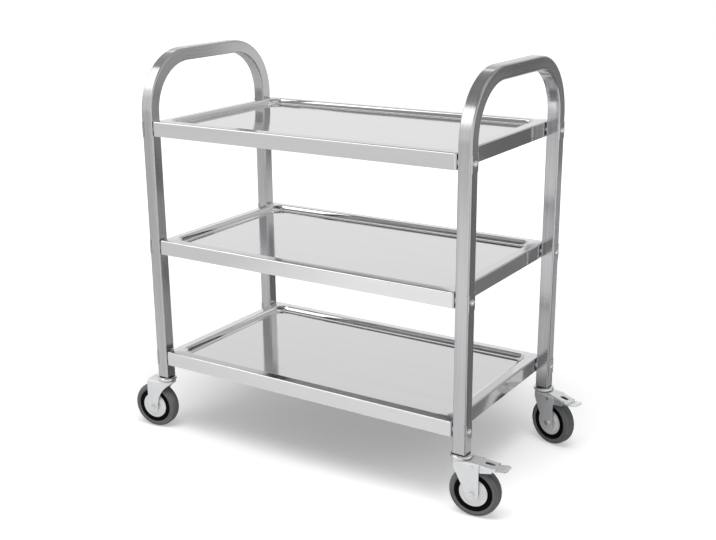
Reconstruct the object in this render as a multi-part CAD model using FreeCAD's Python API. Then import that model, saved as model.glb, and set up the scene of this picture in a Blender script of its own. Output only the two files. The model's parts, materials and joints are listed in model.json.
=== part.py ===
import FreeCAD, Part
import math
import os

# Three-tier serving trolley: two bent square-tube end frames, three pressed trays bolted between
# them, and four swivel casters, the two at the right-hand end with foot brakes.
# Millimetres. X runs along the trolley, -Y is its front, Z = 0 is the floor, X = Y = 0 its middle.

Vector = FreeCAD.Vector
UP = Vector(0, 0, 1)
ALONG = Vector(1, 0, 0)
ACROSS = Vector(0, 1, 0)
ORIGIN = Vector(0, 0, 0)

# Trolley as a whole
SHELF_LENGTH = 700.0  # between the inner faces of the end frames
TROLLEY_WIDTH = 407.0  # over the front and back faces of the legs
BOTTOM_SHELF_RISE = 62.0  # from the leg ends to the rim of the bottom tray
SHELF_PITCH = 251.0
HANDLE_RISE = 138.0  # from the rim of the top tray to the top of the handles

# Square tube of the end frames
TUBE_SIDE = 27.0
TUBE_WALL = 1.2
TUBE_CORNER_RADIUS = 3.0
HANDLE_BEND_RADIUS = 125.0  # on the outside of the bend

# Pressed trays
SHEET = 1.0
APRON_HEIGHT = 31.0
APRON_RETURN = 9.0  # flange folded inwards under the apron
TRAY_CORNER_RADIUS = 4.0
TRAY_EDGE_RADIUS = 3.0
RIM_WIDTH = 20.0
RIM_FALL = 0.7  # of the rim, outwards from the well's mouth
WELL_DEPTH = 10.0
WELL_SLOPE = 5.1  # run of the well's steep wall, seen from above
WELL_CORNER_RADIUS = 26.0
WELL_SHOULDER_RADIUS = 2.5
WELL_FLOOR_RADIUS = 14.0

# Tray bolts, nuts, spacers and saddles
BOLT_DIAMETER = 6.0
BOLT_HOLE_CLEARANCE = 0.2  # radial, in tube, apron, spacer and saddle
BOLT_DROP = 3.0  # under the middle of the apron
BOLT_HEAD_DIAMETER = 12.0
BOLT_HEAD_HEIGHT = 4.5
BOLT_SOCKET_FLATS = 4.0
BOLT_SOCKET_DEPTH = 2.0
BOLT_TAIL = 5.0  # bolt end beyond its nut
NUT_FLATS = 10.0
NUT_HEIGHT = 5.0
HEX_FACE = 0.95  # flat end of a chamfered hexagon, of the width across its flats
HEX_CHAMFER = 30.0  # degrees
THREAD_CLEARANCE = 0.05  # radial, in every nut and threaded plug
SPACER_THICKNESS = 2.0  # washer between leg and tray
SPACER_DIAMETER = 18.0
SADDLE_PLATE = 1.0
SADDLE_HEIGHT = 32.0
SADDLE_LIP = 5.0  # reach of the saddle along the leg's front and back faces

# Leg plugs and caster stems
PLUG_FLANGE = 1.0
PLUG_FLANGE_INSET = 0.6  # of the flange from the faces of the tube
PLUG_DEPTH = 26.0
PLUG_CLEARANCE = 0.1
STEM_DIAMETER = 10.0
STEM_END_GAP = 3.0  # below the top of the plug
STEM_COLLAR_FLATS = 17.0
STEM_COLLAR_HEIGHT = 0.8
KINGPIN_DIAMETER = 12.0
KINGPIN_HEAD_DIAMETER = 19.0
KINGPIN_HEAD_HEIGHT = 2.5
KINGPIN_PLAY = 0.2  # between the riveted head and the crown

# Swivel head and balls
HEAD_DIAMETER = 42.0
HEAD_HEIGHT = 7.6
HEAD_SHOULDER_RADIUS = 4.0
HEAD_EDGE_RADIUS = 2.0  # at its foot
HEAD_SEAT_CLEARANCE = 0.02
SWIVEL_GAP = 1.2  # between the crown and the head
BALL_DIAMETER = 5.0
BALL_CIRCLE_DIAMETER = 22.0
BALL_COUNT = 6
BALL_CLEARANCE = 0.3
RUNNING_CLEARANCE = 0.05  # radial, on kingpin, axle sleeve and pedal pin

# Fork
FORK_PLATE = 2.0
FORK_INNER_WIDTH = 33.6
FORK_BEND_RADIUS = 3.5  # outside, between crown and cheeks
CROWN_CLEARANCE = 10.4  # tyre to the underside of the crown
CASTER_TRAIL = 29.0  # swivel axis to axle, in plan
AXLE_END_RADIUS = 12.0  # rounded lower end of the cheeks
NOSE_RADIUS = 16.5  # of a braked fork's closed nose, in plan
NOSE_FLANK_LENGTH = 16.0  # from the swivel axis back to where its flanks turn in
NOSE_DROP = 9.0  # height of the closed nose under the crown
KNEE_BACK = 11.0  # knee of its front edge behind the nose
KNEE_DROP = 21.0  # knee of its front edge under the crown
ARCH_LIP = 4.5  # depth of an open fork's front edge under the crown
ARCH_BACK = 20.0  # middle of its arched front edge behind the front of the crown
ARCH_DROP = 20.0  # middle of its arched front edge under the crown

# Wheel
WHEEL_DIAMETER = 100.0
TYRE_WIDTH = 28.0
TYRE_SHOULDER_RADIUS = 9.0
TYRE_THICKNESS = 12.0
RIM_FACE_WIDTH = 24.0
RIM_WEB_THICKNESS = 6.0
RIM_RIB_COUNT = 6
RIM_RIB_THICKNESS = 4.0
HUB_DIAMETER = 28.0
HUB_LENGTH = 26.0
RIM_RING = 10.0  # face of the rim left open round the cap
CAP_PLATE = 1.0
CAP_LEDGE = 3.0  # width of the seat for the cap in the rim
CAP_RISE = 2.2
CAP_CROWN_DIAMETER = 34.0
CAP_CLEARANCE = 0.3
BUSH_DIAMETER = 16.0
BUSH_LENGTH = 12.0
BUSH_FLANGE_DIAMETER = 19.0
BUSH_END_PLAY = 0.4
SLEEVE_DIAMETER = 10.0
AXLE_DIAMETER = 6.0
AXLE_CLEARANCE = 0.1
AXLE_HEAD_FLATS = 10.0
AXLE_HEAD_HEIGHT = 4.0
AXLE_NUT_HEIGHT = 5.0
AXLE_TAIL = 2.0

# Foot brake
PEDAL_PLATE = 1.5
PEDAL_WIDTH = 32.6
PEDAL_ROOT = 22.5  # distances along the trail from the swivel axis
PEDAL_END = 71.0
PEDAL_TIP = 95.0
PEDAL_ROOT_RISE = 14.0  # top of the pedal above the tyre, at its root
PEDAL_END_RISE = 8.5
PEDAL_STEP_RUN = 1.2
PEDAL_STEP_DROP = 4.5
PEDAL_TIP_RISE = 3.0  # of the tip over the foot of the step
PEDAL_TIP_WIDTH = 32.0
PEDAL_TIP_RADIUS = 9.0
PEDAL_BEND_RADIUS = 2.5
PEDAL_SKIRT_START = 34.0  # deepest point of the skirts
PEDAL_SKIRT_STOP = 64.0
PEDAL_SKIRT_DROP = 7.0  # under the top of the tyre, at the deepest point
PEDAL_SKIRT_END_DROP = 2.0
PEDAL_SLOT_LENGTH = 20.0
PEDAL_SLOT_WIDTH = 9.0
PEDAL_SLOT_PLACE = 57.0  # middle of the slot
PEDAL_PRESS = 12.0  # degrees, tip down
CROWN_CUT_GAP = 1.5  # between the crown and the pedal's root
PIN_DIAMETER = 5.0
PIN_PLACE = 27.0
PIN_RISE = 5.0  # pin axis above the tyre
PIN_HEAD_DIAMETER = 8.0
PIN_HEAD_HEIGHT = 1.5
PIN_SEAT_CLEARANCE = 0.02
SHOE_WIDTH = 20.0
SHOE_START = 33.0
SHOE_STOP = 47.0
SHOE_GAP = 0.4  # shoe to tyre with the pedal pressed

# Casters: name, end of the trolley, side of the trolley, swivel from straight out in degrees, brake
CASTERS = (
    ("front_left", -1, -1, 9.0, False),
    ("rear_left", -1, 1, -8.0, False),
    ("front_right", 1, -1, 6.0, True),
    ("rear_right", 1, 1, -17.0, True),
)

# Heights from the floor up
AXLE_HEIGHT = WHEEL_DIAMETER / 2
CROWN_UNDERSIDE = WHEEL_DIAMETER + CROWN_CLEARANCE
CROWN_TOP = CROWN_UNDERSIDE + FORK_PLATE
HEAD_BOTTOM = CROWN_TOP + SWIVEL_GAP
HEAD_TOP = HEAD_BOTTOM + HEAD_HEIGHT
PLUG_BOTTOM = HEAD_TOP + STEM_COLLAR_HEIGHT
LEG_END = PLUG_BOTTOM + PLUG_FLANGE
BOTTOM_SHELF_TOP = LEG_END + BOTTOM_SHELF_RISE
MIDDLE_SHELF_TOP = BOTTOM_SHELF_TOP + SHELF_PITCH
TOP_SHELF_TOP = MIDDLE_SHELF_TOP + SHELF_PITCH
HANDLE_TOP = TOP_SHELF_TOP + HANDLE_RISE
SHELF_TOPS = (BOTTOM_SHELF_TOP, MIDDLE_SHELF_TOP, TOP_SHELF_TOP)

# Places shared by several pieces
LEG_X = SHELF_LENGTH / 2 + TUBE_SIDE / 2
LEG_Y = TROLLEY_WIDTH / 2 - TUBE_SIDE / 2
TRAY_LENGTH = SHELF_LENGTH - 2 * SPACER_THICKNESS
FORK_HALF = FORK_INNER_WIDTH / 2 + FORK_PLATE
FORK_REAR = CASTER_TRAIL + AXLE_END_RADIUS
RIM_DIAMETER = WHEEL_DIAMETER - 2 * TYRE_THICKNESS
CAP_DIAMETER = RIM_DIAMETER - 2 * RIM_RING
BOLT_HOLE_RADIUS = BOLT_DIAMETER / 2 + BOLT_HOLE_CLEARANCE
PIN_HEIGHT = WHEEL_DIAMETER + PIN_RISE
TUBE_BORE = TUBE_SIDE - 2 * TUBE_WALL
TUBE_BORE_RADIUS = TUBE_CORNER_RADIUS - TUBE_WALL


def closed_wire(lift, steps):
    """Closed wire through the steps; a step of two points is an arc through the first of them."""
    corner = steps[0]
    edges = []
    for step in steps[1:] + steps[:1]:
        if isinstance(step[0], tuple):
            through, end = step
            edges.append(Part.Arc(lift(*corner), lift(*through), lift(*end)).toShape())
        else:
            end = step
            edges.append(Part.makeLine(lift(*corner), lift(*end)))
        corner = end
    return Part.Wire(edges)


def turned(steps, axis=ACROSS, radial=ALONG):
    """Solid of revolution from (radius, distance along the axis) steps."""
    face = Part.Face(closed_wire(lambda radius, along: radial * radius + axis * along, steps))
    return face.revolve(ORIGIN, axis, 360)


def side_prism(steps, width):
    """Prism of an (X, Z) outline, centred on the XZ plane."""
    face = Part.Face(closed_wire(lambda x, z: Vector(x, -width / 2, z), steps))
    return face.extrude(ACROSS * width)


def rounded_rectangle(length, width, radius, z):
    """Rectangular wire with round corners, centred on the Z axis."""
    corners = ((1, 1, 0), (-1, 1, 90), (-1, -1, 180), (1, -1, 270))
    arcs = []
    for x_sign, y_sign, start in corners:
        centre = Vector(x_sign * (length / 2 - radius), y_sign * (width / 2 - radius), z)
        arcs.append(Part.makeCircle(radius, centre, UP, start, start + 90))
    edges = []
    for arc, following in zip(arcs, arcs[1:] + arcs[:1]):
        edges.append(arc)
        edges.append(Part.makeLine(arc.Vertexes[-1].Point, following.Vertexes[0].Point))
    return Part.Wire(edges)


def rounded_block(length, width, radius, low, high):
    """Upright block with round vertical edges, centred on the Z axis."""
    return Part.Face(rounded_rectangle(length, width, radius, low)).extrude(UP * (high - low))


def hexagon(flats, start, direction, height):
    """Hexagonal prism from the start point along the direction."""
    sides = 6
    corner = flats / 2 / math.cos(math.pi / sides)
    turn = FreeCAD.Rotation(UP, direction)
    points = []
    for k in range(sides + 1):
        angle = 2 * math.pi * k / sides
        points.append(start + turn.multVec(Vector(corner * math.cos(angle), corner * math.sin(angle), 0)))
    return Part.Face(Part.makePolygon(points)).extrude(direction * height)


def hexagon_head(flats, start, direction, height):
    """Hexagonal head or nut with the corners of its outer end chamfered."""
    face = HEX_FACE * flats / 2
    fall = (flats - face) * math.tan(math.radians(HEX_CHAMFER))
    turn = FreeCAD.Rotation(UP, direction)
    cone = turned([(0, 0), (flats, 0), (flats, height - fall), (face, height), (0, height)],
                  direction, turn.multVec(ALONG))
    cone.translate(start)
    return hexagon(flats, start, direction, height).common(cone)


def edges_at(shape, z, half_length, half_width):
    """Edges lying at height z inside the given plan, for fillets."""
    slack = 0.01
    chosen = []
    for edge in shape.Edges:
        box = edge.BoundBox
        level = abs(box.ZMin - z) < slack and abs(box.ZMax - z) < slack
        inside = box.XMax < half_length + slack and box.YMax < half_width + slack
        if level and inside and box.XMin > -half_length - slack and box.YMin > -half_width - slack:
            chosen.append(edge)
    return chosen


# End frames

def bent_run(side, corner_radius):
    """Solid of the leg, bend and handle bar, with the given square section, on the YZ plane."""
    bend_start = HANDLE_TOP - HANDLE_BEND_RADIUS
    bend_radius = HANDLE_BEND_RADIUS - TUBE_SIDE / 2
    section = Part.Face(rounded_rectangle(side, side, corner_radius, LEG_END))
    section.translate(ACROSS * LEG_Y)
    leg = section.extrude(UP * (bend_start - LEG_END))
    section.translate(UP * (bend_start - LEG_END))
    bend_centre = Vector(0, LEG_Y - bend_radius, bend_start)
    bend = section.revolve(bend_centre, ALONG, 90)
    section.rotate(bend_centre, ALONG, 90)
    bar = section.extrude(-ACROSS * (LEG_Y - bend_radius))
    half = leg.fuse([bend, bar])
    return half.fuse(half.mirror(ORIGIN, ACROSS)).removeSplitter()


def bolt_places():
    """(X side, point on the leg's axis) of every tray bolt."""
    places = []
    for end in (-1, 1):
        for side in (-1, 1):
            for top in SHELF_TOPS:
                places.append((end, Vector(end * LEG_X, side * LEG_Y, top - APRON_HEIGHT / 2 - BOLT_DROP)))
    return places


def bolt_holes():
    """Cylinders through saddles, legs, spacers and end aprons, for every tray bolt."""
    reach = TUBE_SIDE
    holes = []
    for end, place in bolt_places():
        start = place - ALONG * reach
        holes.append(Part.makeCylinder(BOLT_HOLE_RADIUS, 2 * reach, start, ALONG))
    return holes


def end_frame(end):
    tube = bent_run(TUBE_SIDE, TUBE_CORNER_RADIUS).cut(bent_run(TUBE_BORE, TUBE_BORE_RADIUS))
    tube.translate(ALONG * (end * LEG_X))
    return tube.cut(bolt_holes())


# Trays

def tray_block(inset, low, top):
    """Tray filled solid, drawn in by inset from its outer skin, with its well pressed in from above."""
    length = TRAY_LENGTH - 2 * inset
    width = TROLLEY_WIDTH - 2 * inset
    upper = top - inset
    eaves = upper - RIM_FALL
    mouth_length = TRAY_LENGTH - 2 * RIM_WIDTH + 2 * inset
    mouth_width = TROLLEY_WIDTH - 2 * RIM_WIDTH + 2 * inset
    mouth_radius = WELL_CORNER_RADIUS + inset
    mouth = rounded_rectangle(mouth_length, mouth_width, mouth_radius, upper)
    edge = rounded_rectangle(length, width, TRAY_CORNER_RADIUS - inset, eaves)
    block = rounded_block(length, width, TRAY_CORNER_RADIUS - inset, low, eaves)
    block = block.fuse(Part.makeLoft([edge, mouth], True, True))
    block = block.makeFillet(TRAY_EDGE_RADIUS - inset, edges_at(block, eaves, length / 2, width / 2))
    floor = rounded_rectangle(
        mouth_length - 2 * WELL_SLOPE, mouth_width - 2 * WELL_SLOPE,
        mouth_radius - WELL_SLOPE, upper - WELL_DEPTH)
    block = block.cut(Part.makeLoft([mouth, floor], True, True))
    block = block.makeFillet(
        WELL_SHOULDER_RADIUS - inset, edges_at(block, upper, mouth_length / 2, mouth_width / 2))
    return block.makeFillet(
        WELL_FLOOR_RADIUS + inset, edges_at(block, upper - WELL_DEPTH, mouth_length / 2, mouth_width / 2))


def tray(top):
    bottom = top - APRON_HEIGHT
    pan = tray_block(0.0, bottom, top).cut(tray_block(SHEET, bottom - SHEET, top))
    flange = rounded_block(TRAY_LENGTH, TROLLEY_WIDTH, TRAY_CORNER_RADIUS, bottom, bottom + SHEET)
    window = rounded_block(
        TRAY_LENGTH - 2 * APRON_RETURN, TROLLEY_WIDTH - 2 * APRON_RETURN,
        TRAY_CORNER_RADIUS, bottom - SHEET, bottom + 2 * SHEET)
    return pan.fuse(flange.cut(window)).removeSplitter().cut(bolt_holes())


# Tray bolts, nuts, spacers and saddles

def shelf_bolt(end, place):
    """Domed bolt driven inwards from outside the leg, with its head on the saddle."""
    outwards = ALONG * end
    seat = place + outwards * (TUBE_SIDE / 2 + SADDLE_PLATE)
    head_radius = BOLT_HEAD_DIAMETER / 2
    shank = SADDLE_PLATE + TUBE_SIDE + SPACER_THICKNESS + SHEET + NUT_HEIGHT + BOLT_TAIL
    dome_radius = (head_radius ** 2 + BOLT_HEAD_HEIGHT ** 2) / (2 * BOLT_HEAD_HEIGHT)
    half_slant = math.asin(head_radius / dome_radius) / 2
    mid_dome = (dome_radius * math.sin(half_slant),
                BOLT_HEAD_HEIGHT - dome_radius * (1 - math.cos(half_slant)))
    bolt = turned([
        (head_radius, 0), (mid_dome, (0, BOLT_HEAD_HEIGHT)), (0, -shank),
        (BOLT_DIAMETER / 2, -shank), (BOLT_DIAMETER / 2, 0)], outwards, UP)
    bolt.translate(seat)
    socket_start = seat + outwards * (BOLT_HEAD_HEIGHT - BOLT_SOCKET_DEPTH)
    return bolt.cut(hexagon(BOLT_SOCKET_FLATS, socket_start, outwards, BOLT_HEAD_HEIGHT))


def shelf_nut(end, place):
    """Hexagonal nut against the inside of the end apron."""
    inwards = ALONG * -end
    start = place + inwards * (TUBE_SIDE / 2 + SPACER_THICKNESS + SHEET)
    thread = Part.makeCylinder(BOLT_DIAMETER / 2 + THREAD_CLEARANCE, NUT_HEIGHT, start, inwards)
    return hexagon_head(NUT_FLATS, start, inwards, NUT_HEIGHT).cut(thread)


def shelf_spacer(end, place):
    """Thick washer that holds the tray off the leg."""
    inwards = ALONG * -end
    start = place + inwards * (TUBE_SIDE / 2)
    washer = Part.makeCylinder(SPACER_DIAMETER / 2, SPACER_THICKNESS, start, inwards)
    return washer.cut(Part.makeCylinder(BOLT_HOLE_RADIUS, SPACER_THICKNESS, start, inwards))


def bolt_saddle(end, place):
    """Thin plate over the leg's outer face, with lips round both edges."""
    low = place.z - SADDLE_HEIGHT / 2
    high = place.z + SADDLE_HEIGHT / 2
    outer_side = TUBE_SIDE + 2 * SADDLE_PLATE
    sleeve = rounded_block(outer_side, outer_side, TUBE_CORNER_RADIUS + SADDLE_PLATE, low, high)
    sleeve = sleeve.cut(rounded_block(TUBE_SIDE, TUBE_SIDE, TUBE_CORNER_RADIUS, low, high))
    kept = Part.makeBox(outer_side, outer_side, SADDLE_HEIGHT)
    kept.translate(Vector(-outer_side / 2, -outer_side / 2, low))
    kept.translate(ALONG * (end * (outer_side / 2 + TUBE_SIDE / 2 - SADDLE_LIP)))
    saddle = sleeve.common(kept)
    saddle.translate(Vector(place.x, place.y, 0))
    return saddle.cut(bolt_holes())


# Leg plugs, caster stems and swivel heads, built about the swivel axis

def leg_plug():
    side = TUBE_BORE - 2 * PLUG_CLEARANCE
    body = rounded_block(side, side, TUBE_BORE_RADIUS, LEG_END, LEG_END + PLUG_DEPTH)
    flange_side = TUBE_SIDE - 2 * PLUG_FLANGE_INSET
    flange = rounded_block(flange_side, flange_side, TUBE_CORNER_RADIUS, PLUG_BOTTOM, LEG_END)
    thread = Part.makeCylinder(
        STEM_DIAMETER / 2 + THREAD_CLEARANCE, PLUG_FLANGE + PLUG_DEPTH, UP * PLUG_BOTTOM)
    return body.fuse(flange).cut(thread)


def caster_stem():
    """Threaded stem, hexagonal collar and riveted kingpin in one."""
    stem_top = LEG_END + PLUG_DEPTH - STEM_END_GAP
    rivet_top = CROWN_UNDERSIDE - KINGPIN_PLAY
    rivet_bottom = rivet_top - KINGPIN_HEAD_HEIGHT
    thread = Part.makeCylinder(STEM_DIAMETER / 2, stem_top - PLUG_BOTTOM, UP * PLUG_BOTTOM)
    collar = hexagon(STEM_COLLAR_FLATS, UP * HEAD_TOP, UP, STEM_COLLAR_HEIGHT)
    kingpin = Part.makeCylinder(KINGPIN_DIAMETER / 2, HEAD_TOP - rivet_top, UP * rivet_top)
    rivet = Part.makeCylinder(KINGPIN_HEAD_DIAMETER / 2, KINGPIN_HEAD_HEIGHT, UP * rivet_bottom)
    return thread.fuse([collar, kingpin, rivet]).removeSplitter()


def swivel_head():
    """Round cup over the balls, pressed on the kingpin."""
    radius = HEAD_DIAMETER / 2
    cup = Part.makeCylinder(radius, HEAD_HEIGHT, UP * HEAD_BOTTOM)
    cup = cup.makeFillet(HEAD_SHOULDER_RADIUS, edges_at(cup, HEAD_TOP, radius, radius))
    cup = cup.makeFillet(HEAD_EDGE_RADIUS, edges_at(cup, HEAD_BOTTOM, radius, radius))
    race_depth = BALL_DIAMETER + BALL_CLEARANCE - SWIVEL_GAP
    race_half = BALL_DIAMETER / 2 + BALL_CLEARANCE
    race = Part.makeCylinder(BALL_CIRCLE_DIAMETER / 2 + race_half, race_depth, UP * HEAD_BOTTOM)
    race = race.cut(Part.makeCylinder(BALL_CIRCLE_DIAMETER / 2 - race_half, race_depth, UP * HEAD_BOTTOM))
    seat = Part.makeCylinder(KINGPIN_DIAMETER / 2 + HEAD_SEAT_CLEARANCE, HEAD_HEIGHT, UP * HEAD_BOTTOM)
    return cup.cut([race, seat])


# Swivelling half of a caster, built with its trail along +X

def swivel_balls():
    balls = []
    for k in range(BALL_COUNT):
        angle = 2 * math.pi * k / BALL_COUNT
        centre = Vector(math.cos(angle), math.sin(angle), 0) * (BALL_CIRCLE_DIAMETER / 2)
        balls.append(Part.makeSphere(BALL_DIAMETER / 2, centre + UP * (CROWN_TOP + BALL_DIAMETER / 2)))
    return Part.makeCompound(balls)


def tangent_point(x, y, centre_x, centre_y, radius, side):
    """Where the line from (x, y) touches a circle, on the side that a turn of that sign leads to."""
    to_point = math.atan2(y - centre_y, x - centre_x)
    turn = math.acos(radius / math.hypot(x - centre_x, y - centre_y))
    angle = to_point + side * turn
    return centre_x + radius * math.cos(angle), centre_y + radius * math.sin(angle)


def fork_plan(braked, inset, rear):
    """Plan of the fork: a half-round front if open, or flanks folded in to a closed nose if braked."""
    half = FORK_HALF - inset
    if braked:
        radius = NOSE_RADIUS - inset
        centre = NOSE_RADIUS - FORK_HALF
        x, y = tangent_point(NOSE_FLANK_LENGTH, -half, centre, 0, radius, -1)
        return [
            (rear, -half), (NOSE_FLANK_LENGTH, -half), (x, y), ((centre - radius, 0), (x, -y)),
            (NOSE_FLANK_LENGTH, half), (rear, half)]
    return [(rear, -half), (0, -half), ((-half, 0), (0, half)), (rear, half)]


def fork_blank(braked, inset, rear, top, bend_radius):
    """Solid of the fork's plan up to the given height, rounded over at the top except at the rear."""
    plan = closed_wire(lambda x, y: Vector(x, y, 0), fork_plan(braked, inset, rear))
    blank = Part.Face(plan).extrude(UP * top)
    rim = []
    for edge in edges_at(blank, top, rear, FORK_HALF):
        if edge.BoundBox.XMin < rear - bend_radius:
            rim.append(edge)
    return blank.makeFillet(bend_radius, rim)


def fork_side(braked):
    """Side view of the cheeks: tapering to the axle from a closed nose, or arched open at the front."""
    front_x = -FORK_HALF
    axle_front = (CASTER_TRAIL - AXLE_END_RADIUS, AXLE_HEIGHT)
    if braked:
        knee = (front_x + KNEE_BACK, CROWN_TOP - KNEE_DROP)
        touch = tangent_point(*knee, CASTER_TRAIL, AXLE_HEIGHT, AXLE_END_RADIUS, 1)
        front = [(front_x, CROWN_TOP - NOSE_DROP), knee, touch]
    else:
        middle = (front_x + ARCH_BACK, CROWN_TOP - ARCH_DROP)
        front = [(front_x, CROWN_TOP - ARCH_LIP), (middle, axle_front)]
    under_axle = (CASTER_TRAIL, AXLE_HEIGHT - AXLE_END_RADIUS)
    return [(front_x, CROWN_TOP)] + front + [(under_axle, (FORK_REAR, AXLE_HEIGHT)), (FORK_REAR, CROWN_TOP)]


def fork(braked):
    """Pressed fork: a crown and two cheeks, with the crown of a braked one cut for the pedal."""
    outer = fork_blank(braked, 0.0, FORK_REAR, CROWN_TOP, FORK_BEND_RADIUS)
    inner = fork_blank(
        braked, FORK_PLATE, FORK_REAR + FORK_PLATE, CROWN_UNDERSIDE, FORK_BEND_RADIUS - FORK_PLATE)
    pressing = outer.cut(inner).common(side_prism(fork_side(braked), 2 * FORK_HALF))
    cuts = [
        Part.makeCylinder(KINGPIN_DIAMETER / 2 + RUNNING_CLEARANCE, CROWN_TOP),
        across_cylinder(AXLE_DIAMETER / 2 + AXLE_CLEARANCE, 2 * FORK_HALF, CASTER_TRAIL, AXLE_HEIGHT)]
    if braked:
        start = PEDAL_ROOT - CROWN_CUT_GAP
        cuts.append(Part.makeBox(
            FORK_REAR, FORK_INNER_WIDTH, CROWN_TOP, Vector(start, -FORK_INNER_WIDTH / 2, WHEEL_DIAMETER)))
        cuts.append(across_cylinder(
            PIN_DIAMETER / 2 + PIN_SEAT_CLEARANCE, 2 * FORK_HALF, PIN_PLACE, PIN_HEIGHT))
    return pressing.cut(cuts)


def across_cylinder(radius, length, x, z):
    """Cylinder along Y, centred on the XZ plane."""
    return Part.makeCylinder(radius, length, Vector(x, -length / 2, z), ACROSS)


def axle_bolt():
    start = Vector(CASTER_TRAIL, -FORK_HALF, AXLE_HEIGHT)
    reach = 2 * FORK_HALF + AXLE_NUT_HEIGHT + AXLE_TAIL
    shank = Part.makeCylinder(AXLE_DIAMETER / 2, reach, start, ACROSS)
    return shank.fuse(hexagon_head(AXLE_HEAD_FLATS, start, -ACROSS, AXLE_HEAD_HEIGHT)).removeSplitter()


def axle_nut():
    start = Vector(CASTER_TRAIL, FORK_HALF, AXLE_HEIGHT)
    thread = Part.makeCylinder(AXLE_DIAMETER / 2 + THREAD_CLEARANCE, AXLE_NUT_HEIGHT, start, ACROSS)
    return hexagon_head(AXLE_HEAD_FLATS, start, ACROSS, AXLE_NUT_HEIGHT).cut(thread)


def axle_sleeve():
    tube = across_cylinder(SLEEVE_DIAMETER / 2, FORK_INNER_WIDTH, CASTER_TRAIL, AXLE_HEIGHT)
    bore = across_cylinder(
        AXLE_DIAMETER / 2 + AXLE_CLEARANCE, FORK_INNER_WIDTH, CASTER_TRAIL, AXLE_HEIGHT)
    return tube.cut(bore)


# Wheel, turned about Y and set on its axle

def on_axle(shape):
    shape.translate(Vector(CASTER_TRAIL, 0, AXLE_HEIGHT))
    return shape


def both_sides(shape):
    return Part.makeCompound([shape, shape.mirror(ORIGIN, ACROSS)])


def tyre():
    seat = RIM_DIAMETER / 2
    crown = WHEEL_DIAMETER / 2
    half = TYRE_WIDTH / 2
    rim_half = RIM_FACE_WIDTH / 2
    flat = half - TYRE_SHOULDER_RADIUS
    slant = TYRE_SHOULDER_RADIUS * math.sin(math.pi / 4)
    side = crown - TYRE_SHOULDER_RADIUS
    return on_axle(turned([
        (seat, -rim_half), (side, -half), ((side + slant, -flat - slant), (crown, -flat)),
        (crown, flat), ((side + slant, flat + slant), (side, half)), (seat, rim_half)]))


def rim():
    """Wheel centre: hub, web and tyre seat, with a ledge for each dust cap and ribs behind the caps."""
    half = RIM_FACE_WIDTH / 2
    web = RIM_WEB_THICKNESS / 2
    hub_half = HUB_LENGTH / 2
    hub = HUB_DIAMETER / 2
    ledge = CAP_DIAMETER / 2 + CAP_CLEARANCE
    pocket = ledge - CAP_LEDGE
    ledge_face = half - CAP_PLATE
    bore = BUSH_DIAMETER / 2
    seat = RIM_DIAMETER / 2
    centre = turned([
        (bore, -hub_half), (hub, -hub_half), (hub, -web), (pocket, -web), (pocket, -ledge_face),
        (ledge, -ledge_face), (ledge, -half), (seat, -half), (seat, half), (ledge, half),
        (ledge, ledge_face), (pocket, ledge_face), (pocket, web), (hub, web), (hub, hub_half),
        (bore, hub_half)])
    ribs = []
    for k in range(RIM_RIB_COUNT):
        rib = Part.makeBox(pocket - bore, 2 * ledge_face, RIM_RIB_THICKNESS)
        rib.translate(Vector(bore, -ledge_face, -RIM_RIB_THICKNESS / 2))
        rib.rotate(ORIGIN, ACROSS, 360 * k / RIM_RIB_COUNT)
        ribs.append(rib.cut(Part.makeCylinder((bore + hub) / 2, 2 * half, -ACROSS * half, ACROSS)))
    return on_axle(centre.fuse(ribs))


def dust_caps():
    """Dished disc over each side of the wheel centre, seated on the ledge in the rim."""
    seat = RIM_FACE_WIDTH / 2 - CAP_PLATE
    hole = BUSH_FLANGE_DIAMETER / 2 + CAP_CLEARANCE
    edge = CAP_DIAMETER / 2
    brim = edge - CAP_LEDGE
    crown = CAP_CROWN_DIAMETER / 2
    cap = turned([
        (edge, seat), (edge, seat + CAP_PLATE), (brim, seat + CAP_PLATE),
        (crown, seat + CAP_RISE + CAP_PLATE), (hole, seat + CAP_RISE + CAP_PLATE),
        (hole, seat + CAP_RISE), (crown, seat + CAP_RISE), (brim, seat)])
    return on_axle(both_sides(cap))


def bushes():
    """Two flanged bushes pressed into the hub, running on the axle sleeve."""
    bore = SLEEVE_DIAMETER / 2 + RUNNING_CLEARANCE
    hub_end = HUB_LENGTH / 2
    flange_end = FORK_INNER_WIDTH / 2 - BUSH_END_PLAY
    outside = BUSH_DIAMETER / 2
    flange = BUSH_FLANGE_DIAMETER / 2
    bush = turned([
        (bore, hub_end - BUSH_LENGTH), (outside, hub_end - BUSH_LENGTH), (outside, hub_end),
        (flange, hub_end), (flange, flange_end), (bore, flange_end)])
    return on_axle(both_sides(bush))


# Foot brake, built with the trail along +X

def pedal_heights():
    """Height of the pedal's top at its root and at the end of its channel."""
    return WHEEL_DIAMETER + PEDAL_ROOT_RISE, WHEEL_DIAMETER + PEDAL_END_RISE


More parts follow.
